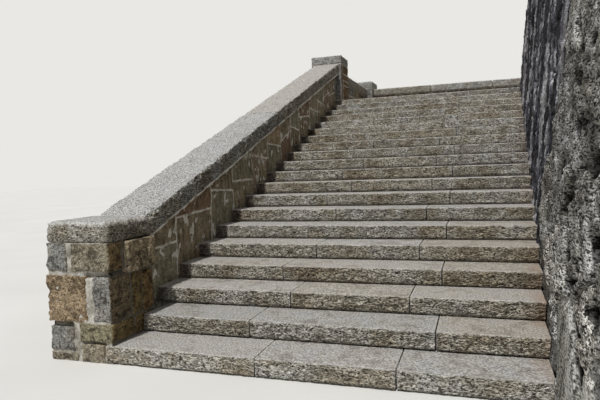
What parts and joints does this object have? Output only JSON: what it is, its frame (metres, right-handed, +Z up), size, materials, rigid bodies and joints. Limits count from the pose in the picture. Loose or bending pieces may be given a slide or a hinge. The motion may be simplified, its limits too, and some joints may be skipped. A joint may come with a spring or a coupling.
{
  "type": "outdoor stone steps",
  "caption": "Straight flight of rock-faced granite steps between a raked rubble parapet with granite coping and a tall battered rubble flank wall, rising to a walled landing",
  "frame": {"origin": "on the ground, in the middle of the whole footprint", "axes": "+Z up, +Y up the flight, +X from the parapet towards the flank wall"},
  "size_m": [5.377, 13.431, 5.1],
  "materials": {
    "step_granite": "rock-faced riser, worn smooth tread",
    "coping_granite": "fine axed top, rock-faced edges",
    "flag_granite": "smooth worn flags",
    "mortared_rubble": "split brown rubble with raised pale mortar",
    "flank_rubble": "rough quarry-faced rubble with deep open joints",
    "core_rubble": "rough backing masonry"
  },
  "bodies": {
    "root": {"step_01": "step_granite", "step_02": "step_granite", "step_03": "step_granite", "step_04": "step_granite", "step_05": "step_granite", "step_06": "step_granite", "step_07": "step_granite", "step_08": "step_granite", "step_09": "step_granite", "step_10": "step_granite", "step_11": "step_granite", "step_12": "step_granite", "step_13": "step_granite", "step_14": "step_granite", "step_15": "step_granite", "step_16": "step_granite", "step_17": "step_granite", "step_18": "step_granite", "step_19": "step_granite", "step_20": "step_granite", "flight_bed": "core_rubble", "lower_pier": "mortared_rubble", "lower_pier_cap": "coping_granite", "parapet_wall": "mortared_rubble", "coping_lower": "coping_granite", "coping_upper": "coping_granite", "upper_pier": "mortared_rubble", "upper_pier_cap": "coping_granite", "landing_core": "core_rubble", "landing_floor": "flag_granite", "landing_side_wall": "mortared_rubble", "landing_side_coping": "coping_granite", "corner_pier": "mortared_rubble", "corner_pier_cap": "coping_granite", "landing_back_wall": "mortared_rubble", "landing_back_coping": "coping_granite", "flank_wall": "flank_rubble"}
  },
  "joints": []
}
